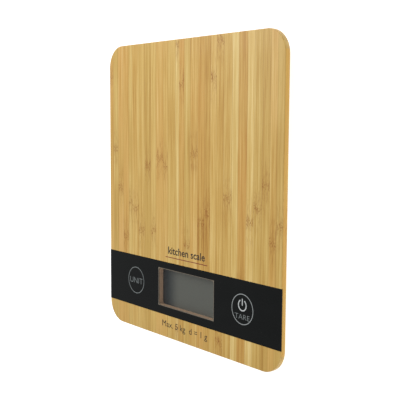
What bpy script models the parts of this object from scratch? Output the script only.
"""Flat electronic kitchen scale: a bamboo platform on four sprung feet.

Frame: the scale lies on its feet. +X is to the user's right, +Y away from the
user, +Z up. The origin is on the supporting surface, under the platform's centre.
"""
import math

import bmesh
import bpy
from mathutils import Matrix, Vector

MM = 0.001
GAP = 0.3 * MM                    # left between two pieces that touch

# Platform and what is let into it
PLATFORM_WIDTH = 202.5 * MM
PLATFORM_LENGTH = 230.0 * MM
PLATFORM_THICKNESS = 4.5 * MM
PLATFORM_CORNER = 17.3 * MM
PLATFORM_EDGE = 0.6 * MM          # rounding of the upper and lower edges
PANEL_HEIGHT = 42.0 * MM          # along Y
PANEL_THICKNESS = 0.6 * MM
PANEL_Y = -76.1 * MM
WINDOW_WIDTH = 66.0 * MM
WINDOW_HEIGHT = 29.5 * MM
WINDOW_CORNER = 1.5 * MM
WINDOW_Y = -75.5 * MM
KEY_X = 63.6 * MM                 # left and right of the centre line
KEY_Y = -75.8 * MM
TOUCH_PAD_RADIUS = 10.0 * MM
TOUCH_PAD_THICKNESS = 0.8 * MM
PAD_HOLE_CLEARANCE = 1.0 * MM

# Housing under the platform
HOUSING_WIDTH = 160.0 * MM
HOUSING_LENGTH = 208.0 * MM
HOUSING_CORNER = 14.0 * MM
HOUSING_EDGE = 1.5 * MM
HOUSING_WALL = 2.0 * MM
BASE_THICKNESS = 1.6 * MM
TRAY_THICKNESS = 1.5 * MM
LIP_DEPTH = 2.0 * MM
LIP_THICKNESS = 1.5 * MM
TAPE_WIDTH = 4.5 * MM
TAPE_THICKNESS = 0.6 * MM
TAPE_INSET = 3.0 * MM             # from the housing's outline
GROUND_CLEARANCE = 3.5 * MM       # supporting surface to the base cover
LABEL_WIDTH = 62.0 * MM
LABEL_HEIGHT = 38.0 * MM
LABEL_THICKNESS = 0.2 * MM
LABEL_Y = -32.0 * MM

# Feet and load cells
FOOT_RADIUS = 9.0 * MM
FOOT_DISC_HEIGHT = 2.5 * MM
FOOT_STEM_RADIUS = 4.0 * MM
FOOT_PAD_RADIUS = 8.0 * MM
FOOT_PAD_HEIGHT = 1.5 * MM
FOOT_CLEARANCE = 1.0 * MM         # round the foot in the base cover
LOAD_CELL_SIDE = 26.0 * MM
LOAD_CELL_CORNER = 4.0 * MM
LOAD_CELL_MARGIN = 3.0 * MM       # load cell to the base cover's inner walls
LOAD_CELL_THICKNESS = 1.2 * MM
LOAD_CELL_SLOT = 2.0 * MM
LOAD_CELL_TONGUE = 12.0 * MM
SEAT_HEIGHT = 0.6 * MM
CLAMP_INSET = 3.0 * MM            # centres of seats and posts from the load cell's edges
POST_RADIUS = 2.5 * MM            # seats and posts that hold a load cell's corners
GAUGE_LENGTH = 5.0 * MM
GAUGE_WIDTH = 7.0 * MM
GAUGE_THICKNESS = 0.3 * MM

# Electronics
BOARD_WIDTH = 90.0 * MM
BOARD_HEIGHT = 44.0 * MM
BOARD_THICKNESS = 1.6 * MM
BOARD_SPACE = 3.9 * MM            # base cover's floor to the underside of the board
LCD_WIDTH = 72.0 * MM
LCD_HEIGHT = 36.0 * MM
LCD_THICKNESS = 2.4 * MM
LCD_FRAME_WALL = 1.7 * MM
LCD_OPENING_CLEARANCE = 0.5 * MM
ZEBRA_HEIGHT = 1.6 * MM
ZEBRA_WIDTH = 2.4 * MM
ZEBRA_INSET = 1.5 * MM
BLOB_RADIUS = 6.0 * MM
BLOB_HEIGHT = 1.2 * MM
CHIP_LENGTH = 5.0 * MM
CHIP_WIDTH = 4.0 * MM
CHIP_HEIGHT = 1.5 * MM

# Battery compartment
BATTERY_Y = 15.0 * MM
COIN_RADIUS = 10.0 * MM
COIN_THICKNESS = 3.2 * MM
COIN_CLEARANCE = 0.4 * MM
DOOR_SIDE = 3.0 * MM              # door opening past the coin cell, left, right and front
DOOR_REAR = 7.0 * MM              # door opening past the coin cell, at the hooks
DOOR_THICKNESS = 1.4 * MM
HINGE_CLEARANCE = 0.6 * MM
HINGE_INSET = 1.0 * MM            # hinge axis from the door's rear edge
HOOK_REACH = 2.2 * MM
HOOK_WIDTH = 3.0 * MM
HOOK_X = 7.5 * MM
HOOK_THICKNESS = 1.1 * MM
HOOK_LIFT = 0.4 * MM
NECK_THICKNESS = 1.3 * MM
CONTACT_WIDTH = 3.0 * MM
CONTACT_THICKNESS = 0.3 * MM
CONTACT_X = 5.0 * MM
CONTACT_TAIL = 3.0 * MM
POCKET_WALL = 2.0 * MM
POCKET_CEILING = 1.2 * MM

# Fasteners and wires
SCREW_RADIUS = 1.1 * MM
SCREW_HEAD_RADIUS = 2.4 * MM
SCREW_HEAD_HEIGHT = 1.1 * MM
SCREW_RECESS = 0.2 * MM
BOSS_RADIUS = 3.2 * MM
BOSS_RISE = 1.6 * MM
SCREW_SIDE_INSET = 8.0 * MM
SCREW_SIDE_Y = 50.0 * MM
SCREW_REAR_X = 26.0 * MM
SCREW_REAR_INSET = 10.0 * MM
BOARD_SCREW_INSET = 3.6 * MM
BOARD_POST_RADIUS = 2.3 * MM
CABLE_RADIUS = 0.8 * MM
WIRE_RADIUS = 0.6 * MM

ROUND_SEGMENTS = 24
SMALL_SEGMENTS = 12

# Levels, worked out from the supporting surface upwards
PAD_TOP = FOOT_PAD_HEIGHT
BASE_LOW = GROUND_CLEARANCE
BASE_FLOOR = BASE_LOW + BASE_THICKNESS
SEAT_TOP = BASE_FLOOR + SEAT_HEIGHT
LOAD_LOW = SEAT_TOP + GAP
LOAD_HIGH = LOAD_LOW + LOAD_CELL_THICKNESS
DOOR_TOP = BASE_LOW + DOOR_THICKNESS
COIN_LOW = DOOR_TOP + GAP
COIN_HIGH = COIN_LOW + COIN_THICKNESS
CONTACT_LOW = COIN_HIGH + GAP
CONTACT_HIGH = CONTACT_LOW + CONTACT_THICKNESS
CEILING_LOW = CONTACT_HIGH + GAP
POCKET_TOP = CEILING_LOW + POCKET_CEILING
BOARD_LOW = BASE_FLOOR + BOARD_SPACE
BOARD_TOP = BOARD_LOW + BOARD_THICKNESS
ZEBRA_LOW = BOARD_TOP + GAP
ZEBRA_TOP = ZEBRA_LOW + ZEBRA_HEIGHT
LCD_LOW = ZEBRA_TOP + GAP
LCD_TOP = LCD_LOW + LCD_THICKNESS
PLATFORM_LOW = LCD_TOP + GAP
PLATFORM_TOP = PLATFORM_LOW + PLATFORM_THICKNESS
TAPE_TOP = PLATFORM_LOW - GAP
TAPE_LOW = TAPE_TOP - TAPE_THICKNESS
TRAY_TOP = TAPE_LOW - GAP
TRAY_LOW = TRAY_TOP - TRAY_THICKNESS
WALL_TOP = TRAY_LOW - GAP
PANEL_LOW = PLATFORM_TOP - PANEL_THICKNESS
CHANNEL_FLOOR = PANEL_LOW - GAP
BORE_TOP = TRAY_LOW - GAP

FOOT_X = HOUSING_WIDTH / 2 - HOUSING_WALL - LOAD_CELL_MARGIN - LOAD_CELL_SIDE / 2
FOOT_Y = HOUSING_LENGTH / 2 - HOUSING_WALL - LOAD_CELL_MARGIN - LOAD_CELL_SIDE / 2
BORE_RADIUS = SCREW_RADIUS + GAP
OPENING_FRONT = BATTERY_Y - COIN_RADIUS - DOOR_SIDE
OPENING_REAR = BATTERY_Y + COIN_RADIUS + DOOR_REAR
OPENING_HALF_WIDTH = COIN_RADIUS + DOOR_SIDE
DOOR_REAR_EDGE = OPENING_REAR - HINGE_CLEARANCE
HINGE_Y = DOOR_REAR_EDGE - HINGE_INSET
HINGE_Z = BASE_LOW + DOOR_THICKNESS * 0.57
OVERCUT = 1.0 * MM                # how far a cutter passes the face it opens
EMBED = 0.5 * MM                  # how far a fused post enters the plate it stands on

CORNERS = {
    "front_left": (-1, -1),
    "front_right": (1, -1),
    "rear_left": (-1, 1),
    "rear_right": (1, 1),
}


def clear_scene():
    """Start from an empty scene."""
    for item in list(bpy.data.objects):
        bpy.data.objects.remove(item, do_unlink=True)


def material(name, colour, roughness, metallic=0.0):
    """A plain Principled material."""
    made = bpy.data.materials.new(name)
    made.use_nodes = True
    shader = made.node_tree.nodes["Principled BSDF"]
    shader.inputs["Base Color"].default_value = (*colour, 1.0)
    shader.inputs["Roughness"].default_value = roughness
    shader.inputs["Metallic"].default_value = metallic
    made.diffuse_color = (*colour, 1.0)
    return made


def finish(name, bm, look=None, smooth=False):
    """Turn a bmesh into a named object, with the shape's place kept in its mesh."""
    bmesh.ops.recalc_face_normals(bm, faces=bm.faces)
    mesh = bpy.data.meshes.new(name)
    bm.to_mesh(mesh)
    bm.free()
    if smooth:
        mesh.shade_smooth()
        mesh.set_sharp_from_angle(angle=math.radians(40))
    made = bpy.data.objects.new(name, mesh)
    if look:
        mesh.materials.append(look)
    bpy.context.scene.collection.objects.link(made)
    return made


def add_slab(bm, width, length, low, high, centre=(0.0, 0.0), corner=0.0, segments=6):
    """Add a flat block with rounded upright corners, and return its faces."""
    ring = bmesh.ops.create_grid(bm, x_segments=1, y_segments=1, size=0.5)["verts"]
    bmesh.ops.scale(bm, vec=(width, length, 1.0), verts=ring)
    bmesh.ops.translate(bm, vec=(centre[0], centre[1], low), verts=ring)
    face = ring[0].link_faces[0]
    if corner > 0.0:
        rounded = bmesh.ops.bevel(bm, geom=ring, affect="VERTICES", offset=corner,
                                  segments=segments, profile=0.5, material=-1)
        face = max(rounded["verts"][0].link_faces, key=lambda item: len(item.verts))
    grown = bmesh.ops.extrude_face_region(bm, geom=[face], use_keep_orig=True)["geom"]
    raised = [item for item in grown if isinstance(item, bmesh.types.BMVert)]
    bmesh.ops.translate(bm, vec=(0.0, 0.0, high - low), verts=raised)
    top = [item for item in grown if isinstance(item, bmesh.types.BMFace)]
    return face, top[0]


def slab(name, look, width, length, low, high, centre=(0.0, 0.0), corner=0.0, segments=6,
         round_low=0.0, round_high=0.0):
    """A flat block as an object, with its lower and upper edges rounded if asked."""
    bm = bmesh.new()
    bottom, top = add_slab(bm, width, length, low, high, centre, corner, segments)
    for face, radius in ((bottom, round_low), (top, round_high)):
        if radius > 0.0:
            bmesh.ops.bevel(bm, geom=list(face.edges), affect="EDGES", offset=radius,
                            segments=2, profile=0.5, material=-1)
    return finish(name, bm, look)


def add_cylinder(bm, radius, low, high, centre, segments=ROUND_SEGMENTS):
    """Add an upright cylinder."""
    place = Matrix.Translation((centre[0], centre[1], (low + high) / 2))
    bmesh.ops.create_cone(bm, cap_ends=True, segments=segments, radius1=radius,
                          radius2=radius, depth=high - low, matrix=place)


def turned(name, look, outline, centre, segments=ROUND_SEGMENTS):
    """Spin an outline of (radius, height) points round an upright axis; both ends on it."""
    bm = bmesh.new()
    verts = [bm.verts.new((centre[0] + r, centre[1], z)) for r, z in outline]
    edges = [bm.edges.new(pair) for pair in zip(verts, verts[1:])]
    bmesh.ops.spin(bm, geom=verts + edges, cent=(centre[0], centre[1], 0.0), axis=(0.0, 0.0, 1.0),
                   angle=math.tau, steps=segments, use_merge=True)
    bmesh.ops.remove_doubles(bm, verts=bm.verts, dist=0.01 * MM)
    return finish(name, bm, look, smooth=True)


def add_profile(bm, outline, x_low, x_high):
    """Add a prism: an outline of (y, z) points drawn out along X."""
    verts = [bm.verts.new((x_low, y, z)) for y, z in outline]
    face = bm.faces.new(verts)
    grown = bmesh.ops.extrude_face_region(bm, geom=[face], use_keep_orig=True)["geom"]
    moved = [item for item in grown if isinstance(item, bmesh.types.BMVert)]
    bmesh.ops.translate(bm, vec=(x_high - x_low, 0.0, 0.0), verts=moved)


def tube(name, look, points, radius, spacing):
    """A wire along a smooth curve through its route's points, with flat ends."""
    route = [Vector(point) for point in points]
    ends = [2 * route[0] - route[1]] + route + [2 * route[-1] - route[-2]]
    path = []
    for index in range(1, len(ends) - 2):
        before, start, stop, after = ends[index - 1:index + 3]
        steps = max(2, round((stop - start).length / spacing))
        for step in range(steps):
            t = step / steps
            path.append(0.5 * (2 * start + (stop - before) * t
                               + (2 * before - 5 * start + 4 * stop - after) * t ** 2
                               + (3 * start - before - 3 * stop + after) * t ** 3))
    path.append(route[-1])
    curve = bpy.data.curves.new(name, "CURVE")
    curve.dimensions = "3D"
    curve.bevel_depth = radius
    curve.bevel_resolution = 2
    curve.use_fill_caps = True
    spline = curve.splines.new("POLY")
    spline.points.add(len(path) - 1)
    for place, point in zip(spline.points, path):
        place.co = (*point, 1.0)
    curve.materials.append(look)
    made = bpy.data.objects.new(name, curve)
    bpy.context.scene.collection.objects.link(made)
    return made


def combine(target, operation, build):
    """Fuse shapes to an object, or cut them from it, with one Boolean modifier."""
    bm = bmesh.new()
    build(bm)
    tool = finish(f"{target.name}_{operation.lower()}_{len(target.modifiers)}", bm)
    tool.hide_render = True
    tool.display_type = "WIRE"
    step = target.modifiers.new(tool.name, "BOOLEAN")
    step.operation = operation
    step.solver = "EXACT"
    step.object = tool


def fuse(target, build):
    """Join the built shapes to the target."""
    combine(target, "UNION", build)


def cut(target, build):
    """Remove the built shapes from the target."""
    combine(target, "DIFFERENCE", build)


def foot_places():
    """Each corner's name with its foot's centre."""
    return {name: (side * FOOT_X, end * FOOT_Y) for name, (side, end) in CORNERS.items()}


def clamp_places():
    """Where the seats and posts hold the corners of the load cells."""
    reach = LOAD_CELL_SIDE / 2 - CLAMP_INSET
    return [(x + side * reach, y + end * reach)
            for x, y in foot_places().values() for side, end in CORNERS.values()]


def base_screw_places():
    """Six screws: two at each side, two at the rear."""
    side = HOUSING_WIDTH / 2 - SCREW_SIDE_INSET
    rear = HOUSING_LENGTH / 2 - SCREW_REAR_INSET
    return {
        "side_front_left": (-side, -SCREW_SIDE_Y),
        "side_front_right": (side, -SCREW_SIDE_Y),
        "side_rear_left": (-side, SCREW_SIDE_Y),
        "side_rear_right": (side, SCREW_SIDE_Y),
        "rear_left": (-SCREW_REAR_X, rear),
        "rear_right": (SCREW_REAR_X, rear),
    }


def board_screw_places():
    """Four screws, one in each corner of the circuit board."""
    reach_x = BOARD_WIDTH / 2 - BOARD_SCREW_INSET
    reach_y = BOARD_HEIGHT / 2 - BOARD_SCREW_INSET
    return {name: (side * reach_x, WINDOW_Y + end * reach_y)
            for name, (side, end) in CORNERS.items()}


def key_places():
    """The two touch keys."""
    return {"unit": (-KEY_X, KEY_Y), "tare": (KEY_X, KEY_Y)}


def make_platform(bamboo):
    """Board with rounded edges, panel channel, display well and holes behind the keys."""
    board = slab("bamboo_platform", bamboo, PLATFORM_WIDTH, PLATFORM_LENGTH, PLATFORM_LOW,
                 PLATFORM_TOP, corner=PLATFORM_CORNER, segments=8,
                 round_low=PLATFORM_EDGE, round_high=PLATFORM_EDGE)

    def channel(bm):
        add_slab(bm, PLATFORM_WIDTH + 2 * OVERCUT, PANEL_HEIGHT + 2 * GAP, CHANNEL_FLOOR,
                 PLATFORM_TOP + OVERCUT, centre=(0.0, PANEL_Y))

    def well_and_holes(bm):
        add_slab(bm, WINDOW_WIDTH, WINDOW_HEIGHT, PLATFORM_LOW - OVERCUT, CHANNEL_FLOOR + OVERCUT,
                 centre=(0.0, WINDOW_Y), corner=WINDOW_CORNER, segments=3)
        for place in key_places().values():
            add_cylinder(bm, TOUCH_PAD_RADIUS + PAD_HOLE_CLEARANCE, PLATFORM_LOW - OVERCUT,
                         CHANNEL_FLOOR + OVERCUT, place)

    cut(board, channel)
    cut(board, well_and_holes)


def make_panel(black, clear):
    """Black strip flush with the platform, and the clear window that fills its opening."""
    panel = slab("control_panel", black, PLATFORM_WIDTH, PANEL_HEIGHT, PANEL_LOW, PLATFORM_TOP,
                 centre=(0.0, PANEL_Y))

    def opening(bm):
        add_slab(bm, WINDOW_WIDTH, WINDOW_HEIGHT, PANEL_LOW - OVERCUT, PLATFORM_TOP + OVERCUT,
                 centre=(0.0, WINDOW_Y), corner=WINDOW_CORNER, segments=3)

    cut(panel, opening)
    slab("display_window", clear, WINDOW_WIDTH - 2 * GAP, WINDOW_HEIGHT - 2 * GAP, PANEL_LOW,
         PLATFORM_TOP, centre=(0.0, WINDOW_Y), corner=WINDOW_CORNER - GAP, segments=3)


def make_display(grey, plastic, rubber):
    """LCD glass in its frame, pressed on the board through two contact strips."""
    centre = (0.0, WINDOW_Y)
    slab("lcd_glass", grey, LCD_WIDTH, LCD_HEIGHT, LCD_LOW, LCD_TOP, centre=centre)
    frame = slab("lcd_frame", plastic, LCD_WIDTH + 2 * (GAP + LCD_FRAME_WALL),
                 LCD_HEIGHT + 2 * (GAP + LCD_FRAME_WALL), ZEBRA_LOW, LCD_TOP, centre=centre,
                 corner=1.0 * MM, segments=2)

    def opening(bm):
        add_slab(bm, LCD_WIDTH + 2 * GAP, LCD_HEIGHT + 2 * GAP, ZEBRA_LOW - OVERCUT,
                 LCD_TOP + OVERCUT, centre=centre)

    cut(frame, opening)
    reach = LCD_HEIGHT / 2 - ZEBRA_INSET - ZEBRA_WIDTH / 2
    for name, end in (("front", -1), ("rear", 1)):
        slab(f"contact_strip_{name}", rubber, LCD_WIDTH - 4 * ZEBRA_INSET, ZEBRA_WIDTH,
             ZEBRA_LOW, ZEBRA_TOP, centre=(0.0, WINDOW_Y + end * reach))


def make_board(green, epoxy, copper):
    """Circuit board under the display, its two chips, and the pads behind the keys."""
    board = slab("main_board", green, BOARD_WIDTH, BOARD_HEIGHT, BOARD_LOW, BOARD_TOP,
                 centre=(0.0, WINDOW_Y))

    def holes(bm):
        for place in board_screw_places().values():
            add_cylinder(bm, BORE_RADIUS, BOARD_LOW - OVERCUT, BOARD_TOP + OVERCUT, place,
                         SMALL_SEGMENTS)

    cut(board, holes)
    blob_low = BOARD_LOW - GAP - BLOB_HEIGHT
    turned("controller_blob", epoxy,
           [(0.0, blob_low), (BLOB_RADIUS * 0.6, blob_low + BLOB_HEIGHT * 0.2),
            (BLOB_RADIUS * 0.9, blob_low + BLOB_HEIGHT * 0.6),
            (BLOB_RADIUS, blob_low + BLOB_HEIGHT), (0.0, blob_low + BLOB_HEIGHT)],
           (0.0, WINDOW_Y), 16)
    slab("memory_chip", epoxy, CHIP_LENGTH, CHIP_WIDTH, BOARD_LOW - GAP - CHIP_HEIGHT,
         BOARD_LOW - GAP, centre=(0.0, WINDOW_Y - BLOB_RADIUS - CHIP_WIDTH))
    for name, place in key_places().items():
        bm = bmesh.new()
        add_cylinder(bm, TOUCH_PAD_RADIUS, PANEL_LOW - GAP - TOUCH_PAD_THICKNESS,
                     PANEL_LOW - GAP, place)
        finish(f"touch_pad_{name}", bm, copper)


def make_tray(plastic, foam):
    """Upper tray: plate, lip, posts over the load cells, screw bosses, display opening."""
    tray = slab("upper_tray", plastic, HOUSING_WIDTH, HOUSING_LENGTH, TRAY_LOW, TRAY_TOP,
                corner=HOUSING_CORNER, round_high=0.4 * MM)
    lip_inset = HOUSING_WALL + GAP
    inner_inset = lip_inset + LIP_THICKNESS

    def lip(bm):
        add_slab(bm, HOUSING_WIDTH - 2 * lip_inset, HOUSING_LENGTH - 2 * lip_inset,
                 TRAY_LOW - LIP_DEPTH, TRAY_LOW + EMBED, corner=HOUSING_CORNER - lip_inset)

    def hollow(bm):
        add_slab(bm, HOUSING_WIDTH - 2 * inner_inset, HOUSING_LENGTH - 2 * inner_inset,
                 TRAY_LOW - LIP_DEPTH - OVERCUT, TRAY_LOW, corner=HOUSING_CORNER - inner_inset)

    def posts(bm):
        for place in clamp_places():
            add_cylinder(bm, POST_RADIUS, LOAD_HIGH + GAP, TRAY_LOW + EMBED, place, 8)
        for place in base_screw_places().values():
            add_cylinder(bm, BOSS_RADIUS, BASE_FLOOR + BOSS_RISE + GAP, TRAY_LOW + EMBED, place,
                         SMALL_SEGMENTS)
        for place in board_screw_places().values():
            add_cylinder(bm, BOARD_POST_RADIUS, BOARD_TOP + GAP, TRAY_LOW + EMBED, place,
                         SMALL_SEGMENTS)

    def openings(bm):
        reach = 2 * (GAP + LCD_FRAME_WALL + LCD_OPENING_CLEARANCE)
        add_slab(bm, LCD_WIDTH + reach, LCD_HEIGHT + reach, TRAY_LOW - OVERCUT,
                 TRAY_TOP + OVERCUT, centre=(0.0, WINDOW_Y))
        for place in key_places().values():
            add_cylinder(bm, TOUCH_PAD_RADIUS * 0.5, TRAY_LOW - OVERCUT, TRAY_TOP + OVERCUT,
                         place, 16)

    def bores(bm):
        for place in base_screw_places().values():
            add_cylinder(bm, BORE_RADIUS, BASE_FLOOR, BORE_TOP, place, SMALL_SEGMENTS)
        for place in board_screw_places().values():
            add_cylinder(bm, BORE_RADIUS, BOARD_TOP, BORE_TOP, place, SMALL_SEGMENTS)

    fuse(tray, lip)
    cut(tray, hollow)
    fuse(tray, posts)
    cut(tray, openings)
    cut(tray, bores)

    tape = slab("tape_ring", foam, HOUSING_WIDTH - 2 * TAPE_INSET, HOUSING_LENGTH - 2 * TAPE_INSET,
                TAPE_LOW, TAPE_TOP, corner=HOUSING_CORNER - TAPE_INSET)
    inner = TAPE_INSET + TAPE_WIDTH

    def middle(bm):
        add_slab(bm, HOUSING_WIDTH - 2 * inner, HOUSING_LENGTH - 2 * inner, TAPE_LOW - OVERCUT,
                 TAPE_TOP + OVERCUT, corner=HOUSING_CORNER - inner)

    cut(tape, middle)


def make_base(plastic, paper):
    """Base cover: shallow tray with battery pocket, seats, screw bosses and foot holes."""
    base = slab("base_cover", plastic, HOUSING_WIDTH, HOUSING_LENGTH, BASE_LOW, WALL_TOP,
                corner=HOUSING_CORNER, round_low=HOUSING_EDGE)
    well_radius = COIN_RADIUS + COIN_CLEARANCE
    pocket_front = OPENING_FRONT - POCKET_WALL
    cavity_rear = OPENING_REAR + HOOK_REACH + GAP
    pocket_rear = cavity_rear + POCKET_WALL
    hook_top = DOOR_TOP + HOOK_LIFT + BASE_THICKNESS - DOOR_THICKNESS + HOOK_THICKNESS
    hook_sweep = math.hypot(HINGE_INSET + HOOK_REACH, hook_top - HINGE_Z)
    cavity_top = HINGE_Z + hook_sweep + GAP

    def hollow(bm):
        add_slab(bm, HOUSING_WIDTH - 2 * HOUSING_WALL, HOUSING_LENGTH - 2 * HOUSING_WALL,
                 BASE_FLOOR, WALL_TOP + OVERCUT, corner=HOUSING_CORNER - HOUSING_WALL)

    def raised(bm):
        pocket_top = max(POCKET_TOP, cavity_top + POCKET_CEILING)
        add_slab(bm, 2 * (OPENING_HALF_WIDTH + POCKET_WALL), pocket_rear - pocket_front,
                 BASE_FLOOR - EMBED, pocket_top,
                 centre=(0.0, (pocket_front + pocket_rear) / 2))
        for place in clamp_places():
            add_cylinder(bm, POST_RADIUS, BASE_FLOOR - EMBED, SEAT_TOP, place, 8)
        for place in base_screw_places().values():
            add_cylinder(bm, BOSS_RADIUS, BASE_FLOOR - EMBED, BASE_FLOOR + BOSS_RISE, place,
                         SMALL_SEGMENTS)

    def openings(bm):
        for place in foot_places().values():
            add_cylinder(bm, FOOT_RADIUS + FOOT_CLEARANCE, BASE_LOW - OVERCUT,
                         BASE_FLOOR + OVERCUT, place)
        for place in base_screw_places().values():
            add_cylinder(bm, SCREW_HEAD_RADIUS + GAP, BASE_LOW - OVERCUT,
                         BASE_LOW + SCREW_RECESS + SCREW_HEAD_HEIGHT + GAP, place,
                         SMALL_SEGMENTS)
        add_slab(bm, 2 * OPENING_HALF_WIDTH, OPENING_REAR - OPENING_FRONT, BASE_LOW - OVERCUT,
                 BASE_FLOOR, centre=(0.0, (OPENING_FRONT + OPENING_REAR) / 2))

    def bores(bm):
        for place in base_screw_places().values():
            add_cylinder(bm, BORE_RADIUS, BASE_LOW, BASE_FLOOR + BOSS_RISE + OVERCUT, place,
                         SMALL_SEGMENTS)
        add_cylinder(bm, well_radius, DOOR_TOP, CEILING_LOW, (0.0, BATTERY_Y))

    def cavities(bm):
        front = HINGE_Y - hook_sweep + HOOK_THICKNESS
        step = OPENING_REAR - GAP
        add_profile(bm, [(front, DOOR_TOP), (step, DOOR_TOP), (step, BASE_FLOOR),
                         (cavity_rear, BASE_FLOOR), (cavity_rear, cavity_top),
                         (front, cavity_top)],
                    -OPENING_HALF_WIDTH, OPENING_HALF_WIDTH)
        reach = CONTACT_WIDTH / 2 + 2 * GAP
        add_profile(bm, [(pocket_front - OVERCUT, COIN_HIGH), (BATTERY_Y, COIN_HIGH),
                         (BATTERY_Y, CEILING_LOW - GAP / 2),
                         (pocket_front - OVERCUT, CEILING_LOW - GAP / 2)],
                    -CONTACT_X - reach, -CONTACT_X + reach)
        rim = BATTERY_Y - math.sqrt(COIN_RADIUS ** 2 - (CONTACT_X - CONTACT_WIDTH / 2) ** 2)
        back = rim - GAP - CONTACT_THICKNESS - GAP
        add_profile(bm, [(pocket_front - OVERCUT, COIN_HIGH), (back, COIN_HIGH),
                         (back, COIN_LOW), (BATTERY_Y, COIN_LOW),
                         (BATTERY_Y, CEILING_LOW - GAP / 2),
                         (pocket_front - OVERCUT, CEILING_LOW - GAP / 2)],
                    CONTACT_X - reach, CONTACT_X + reach)

    cut(base, hollow)
    fuse(base, raised)
    cut(base, openings)
    cut(base, bores)
    cut(base, cavities)
    slab("rating_label", paper, LABEL_WIDTH, LABEL_HEIGHT, BASE_LOW - GAP - LABEL_THICKNESS,
         BASE_LOW - GAP, centre=(0.0, LABEL_Y), corner=1.5 * MM, segments=3)


def make_battery(steel, brass, plastic):
    """Coin cell, its two contacts, and the door that swings on two hooks."""
    edge = 0.3 * MM
    turned("coin_cell", steel,
           [(0.0, COIN_LOW), (COIN_RADIUS - edge, COIN_LOW), (COIN_RADIUS, COIN_LOW + edge),
            (COIN_RADIUS, COIN_HIGH - 2 * edge), (COIN_RADIUS - edge, COIN_HIGH - edge),
            (COIN_RADIUS - 1.2 * MM, COIN_HIGH), (0.0, COIN_HIGH)],
           (0.0, BATTERY_Y), 32)
    pocket_front = OPENING_FRONT - POCKET_WALL
    tail_end = pocket_front - CONTACT_TAIL
    half = CONTACT_WIDTH / 2
    negative = bmesh.new()
    add_profile(negative, [(tail_end, CONTACT_LOW), (BATTERY_Y - GAP, CONTACT_LOW),
                           (BATTERY_Y - GAP, CONTACT_HIGH), (tail_end, CONTACT_HIGH)],
                -CONTACT_X - half, -CONTACT_X + half)
    finish("battery_contact_negative", negative, brass)
    rim = BATTERY_Y - math.sqrt(COIN_RADIUS ** 2 - (CONTACT_X - half) ** 2)
    front = rim - GAP
    back = front - CONTACT_THICKNESS
    foot = COIN_LOW + GAP
    positive = bmesh.new()
    add_profile(positive, [(tail_end, CONTACT_LOW), (back, CONTACT_LOW), (back, foot),
                           (front, foot), (front, CONTACT_HIGH), (tail_end, CONTACT_HIGH)],
                CONTACT_X - half, CONTACT_X + half)
    finish("battery_contact_positive", positive, brass)

    hinge = bpy.data.objects.new("battery_door_hinge", None)
    hinge.location = (0.0, HINGE_Y, HINGE_Z)
    bpy.context.scene.collection.objects.link(hinge)
    door_front = OPENING_FRONT + GAP
    door = slab("battery_door", plastic, 2 * (OPENING_HALF_WIDTH - GAP),
                DOOR_REAR_EDGE - door_front, BASE_LOW, DOOR_TOP,
                centre=(0.0, (door_front + DOOR_REAR_EDGE) / 2), corner=0.8 * MM, segments=2)
    hook_low = BASE_FLOOR + HOOK_LIFT
    neck_rear = DOOR_REAR_EDGE - GAP
    neck_front = neck_rear - NECK_THICKNESS

    def hooks(bm):
        for side in (-1, 1):
            add_profile(bm, [(neck_front, DOOR_TOP - EMBED), (neck_rear, DOOR_TOP - EMBED),
                             (neck_rear, hook_low), (DOOR_REAR_EDGE + HOOK_REACH, hook_low),
                             (DOOR_REAR_EDGE + HOOK_REACH, hook_low + HOOK_THICKNESS),
                             (neck_front, hook_low + HOOK_THICKNESS)],
                        side * HOOK_X - HOOK_WIDTH / 2, side * HOOK_X + HOOK_WIDTH / 2)

    fuse(door, hooks)
    door.parent = hinge
    door.matrix_parent_inverse = Matrix.Translation(-hinge.location)


def make_feet(steel, film, plastic, rubber):
    """Load cells with their gauges, and under each one a foot cap and a rubber pad."""
    disc_low = PAD_TOP + GAP
    disc_top = disc_low + FOOT_DISC_HEIGHT
    edge = 0.6 * MM
    for name, (x, y) in foot_places().items():
        inward = -1 if x > 0 else 1
        cell = slab(f"load_cell_{name}", steel, LOAD_CELL_SIDE, LOAD_CELL_SIDE, LOAD_LOW,
                    LOAD_HIGH, centre=(x, y), corner=LOAD_CELL_CORNER, segments=3)

        def slot(bm, x=x, y=y, inward=inward):
            half = LOAD_CELL_TONGUE / 2
            outer = half + LOAD_CELL_SLOT
            near = x + inward * half
            far = x - inward * outer
            mid = x - inward * half
            outline = [(near, y - outer), (far, y - outer), (far, y + outer), (near, y + outer),
                       (near, y + half), (mid, y + half), (mid, y - half), (near, y - half)]
            face = bm.faces.new([bm.verts.new((a, b, LOAD_LOW - OVERCUT)) for a, b in outline])
            grown = bmesh.ops.extrude_face_region(bm, geom=[face], use_keep_orig=True)["geom"]
            moved = [item for item in grown if isinstance(item, bmesh.types.BMVert)]
            bmesh.ops.translate(bm, vec=(0.0, 0.0, LOAD_CELL_THICKNESS + 2 * OVERCUT),
                                verts=moved)

        cut(cell, slot)
        gauge_x = x + inward * (LOAD_CELL_SIDE / 2 - OVERCUT - GAUGE_LENGTH / 2)
        slab(f"strain_gauge_{name}", film, GAUGE_LENGTH, GAUGE_WIDTH, LOAD_HIGH + GAP,
             LOAD_HIGH + GAP + GAUGE_THICKNESS, centre=(gauge_x, y))
        turned(f"foot_cap_{name}", plastic,
               [(0.0, disc_low), (FOOT_RADIUS - edge, disc_low), (FOOT_RADIUS, disc_low + edge),
                (FOOT_RADIUS, disc_top), (FOOT_STEM_RADIUS, disc_top),
                (FOOT_STEM_RADIUS, SEAT_TOP), (0.0, SEAT_TOP)], (x, y))
        turned(f"foot_pad_{name}", rubber,
               [(0.0, 0.0), (FOOT_PAD_RADIUS - edge, 0.0), (FOOT_PAD_RADIUS, edge),
                (FOOT_PAD_RADIUS, PAD_TOP), (0.0, PAD_TOP)], (x, y))


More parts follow.
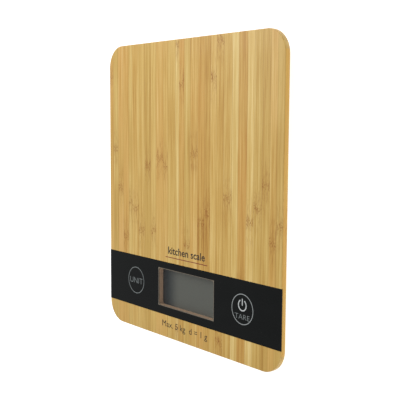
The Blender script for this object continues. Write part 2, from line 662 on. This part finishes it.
def make_screw(name, look, place, head_low, tip):
    """Pan-head screw driven upwards: head below, plain shank with a short point."""
    shoulder = head_low + SCREW_HEAD_HEIGHT
    turned(name, look,
           [(0.0, head_low), (SCREW_HEAD_RADIUS * 0.75, head_low),
            (SCREW_HEAD_RADIUS, head_low + SCREW_HEAD_HEIGHT / 2), (SCREW_HEAD_RADIUS, shoulder),
            (SCREW_RADIUS, shoulder), (SCREW_RADIUS, tip - SCREW_RADIUS), (0.0, tip)],
           place, SMALL_SEGMENTS)


def make_screws(steel):
    """Six screws hold the base cover, four hold the circuit board."""
    for name, place in base_screw_places().items():
        make_screw(f"base_screw_{name}", steel, place, BASE_LOW + SCREW_RECESS,
                   BORE_TOP - 2 * GAP)
    for name, place in board_screw_places().items():
        make_screw(f"board_screw_{name}", steel, place, BOARD_LOW - GAP - SCREW_HEAD_HEIGHT,
                   BORE_TOP - GAP)


def make_wires(grey, white, red, black):
    """Load cell cables, touch pad wires and battery wires, each along its own route."""
    run = BASE_FLOOR + GAP + CABLE_RADIUS
    under = BOARD_LOW - GAP - CABLE_RADIUS
    start_z = LOAD_HIGH + 2 * GAP + CABLE_RADIUS
    board_edge = BOARD_WIDTH / 2
    board_rear = WINDOW_Y + BOARD_HEIGHT / 2
    pocket_side = OPENING_HALF_WIDTH + POCKET_WALL
    for name, (x, y) in foot_places().items():
        side = 1 if x > 0 else -1
        start = abs(x) - LOAD_CELL_SIDE / 2 + OVERCUT / 2
        if y < 0:
            route = [(start, y, start_z), (start - 1.3 * MM, y, start_z - 0.2 * MM),
                     (board_edge + 0.8 * MM, y + 0.6 * MM, under - 0.6 * MM),
                     (board_edge - 4.0 * MM, y + 3.0 * MM, run + 0.4 * MM),
                     (board_edge - 12.0 * MM, y + 6.0 * MM, under)]
        else:
            lane = pocket_side + 20.0 * MM
            route = [(start, y, start_z), (start - 2.0 * MM, y - 0.5 * MM, start_z - 0.3 * MM),
                     (start - 6.0 * MM, y - 3.0 * MM, run + 0.6 * MM),
                     (lane + 1.0 * MM, y - 14.0 * MM, run), (lane, y - 34.0 * MM, run),
                     (lane + 1.0 * MM, y - 64.0 * MM, run), (lane - 1.0 * MM, 0.0, run),
                     (lane - 5.0 * MM, board_rear + 22.0 * MM, run),
                     (lane - 12.0 * MM, board_rear + 8.0 * MM, run + 0.3 * MM),
                     (lane - 17.0 * MM, board_rear - 2.0 * MM, under - 0.5 * MM),
                     (lane - 20.0 * MM, board_rear - 9.0 * MM, under)]
        tube(f"load_cell_cable_{name}", grey, [(side * a, b, c) for a, b, c in route],
             CABLE_RADIUS, 4.8 * MM)

    between = LOAD_CELL_SIDE / 2 - CLAMP_INSET
    top = PANEL_LOW - 2 * GAP - TOUCH_PAD_THICKNESS
    lane_z = TRAY_LOW - GAP - WIRE_RADIUS
    for name, (x, y) in key_places().items():
        side = 1 if x > 0 else -1
        route = [(KEY_X, y, top), (KEY_X, y, top - 2.5 * MM),
                 (KEY_X - 0.3 * MM, y - 0.4 * MM, TRAY_TOP),
                 (KEY_X - 1.0 * MM, y - 2.0 * MM, lane_z),
                 (FOOT_X, -FOOT_Y + 4.0 * MM, lane_z),
                 (FOOT_X - between, -FOOT_Y + 0.5 * MM, lane_z),
                 (board_edge + 1.0 * MM, -FOOT_Y + 0.5 * MM, lane_z),
                 (board_edge - 4.0 * MM, -FOOT_Y + 1.0 * MM, BOARD_TOP + GAP + WIRE_RADIUS)]
        tube(f"touch_wire_{name}", white, [(side * a, b, c) for a, b, c in route],
             WIRE_RADIUS, 2.4 * MM)

    tail = OPENING_FRONT - POCKET_WALL - CONTACT_TAIL - GAP
    floor = BASE_FLOOR + GAP + WIRE_RADIUS
    level = (CONTACT_LOW + CONTACT_HIGH) / 2
    for name, look, side in (("red", red, 1), ("black", black, -1)):
        route = [(CONTACT_X, tail, level), (CONTACT_X, tail - 2.0 * MM, level - 0.3 * MM),
                 (CONTACT_X + 0.5 * MM, tail - 6.0 * MM, floor + 1.0 * MM),
                 (CONTACT_X + 1.0 * MM, tail - 12.0 * MM, floor),
                 (CONTACT_X - 0.5 * MM, tail - 24.0 * MM, floor),
                 (CONTACT_X + 0.5 * MM, board_rear + 10.0 * MM, floor),
                 (CONTACT_X + 1.0 * MM, board_rear - 1.0 * MM, under - 0.5 * MM),
                 (CONTACT_X + 1.0 * MM, board_rear - 6.0 * MM, BOARD_LOW - GAP - WIRE_RADIUS)]
        tube(f"battery_wire_{name}", look, [(side * a, b, c) for a, b, c in route],
             WIRE_RADIUS, 2.4 * MM)


def build_scale():
    """Make every piece."""
    clear_scene()
    bamboo = material("bamboo", (0.60, 0.38, 0.14), 0.45)
    black = material("gloss_black", (0.02, 0.02, 0.02), 0.15)
    clear = material("clear_acrylic", (0.85, 0.88, 0.88), 0.05)
    grey = material("lcd_grey", (0.16, 0.17, 0.15), 0.2)
    plastic = material("white_plastic", (0.80, 0.80, 0.78), 0.5)
    dark_rubber = material("dark_rubber", (0.05, 0.05, 0.05), 0.8)
    soft_rubber = material("soft_rubber", (0.35, 0.35, 0.35), 0.75)
    green = material("board_green", (0.03, 0.22, 0.08), 0.4)
    epoxy = material("black_epoxy", (0.02, 0.02, 0.02), 0.35)
    copper = material("copper_foil", (0.80, 0.42, 0.25), 0.35, 1.0)
    brass = material("nickel_brass", (0.75, 0.68, 0.50), 0.3, 1.0)
    steel = material("steel", (0.62, 0.62, 0.62), 0.3, 1.0)
    film = material("gauge_film", (0.75, 0.45, 0.10), 0.4)
    foam = material("white_foam", (0.85, 0.85, 0.83), 0.9)
    paper = material("label_paper", (0.82, 0.82, 0.80), 0.7)
    red = material("red_sleeve", (0.60, 0.03, 0.02), 0.5)
    dark = material("black_sleeve", (0.03, 0.03, 0.03), 0.5)
    white = material("white_sleeve", (0.80, 0.80, 0.80), 0.5)
    make_platform(bamboo)
    make_panel(black, clear)
    make_display(grey, plastic, dark_rubber)
    make_board(green, epoxy, copper)
    make_tray(plastic, foam)
    make_base(plastic, paper)
    make_battery(steel, brass, plastic)
    make_feet(steel, film, plastic, soft_rubber)
    make_screws(steel)
    make_wires(soft_rubber, white, red, dark)


build_scale()
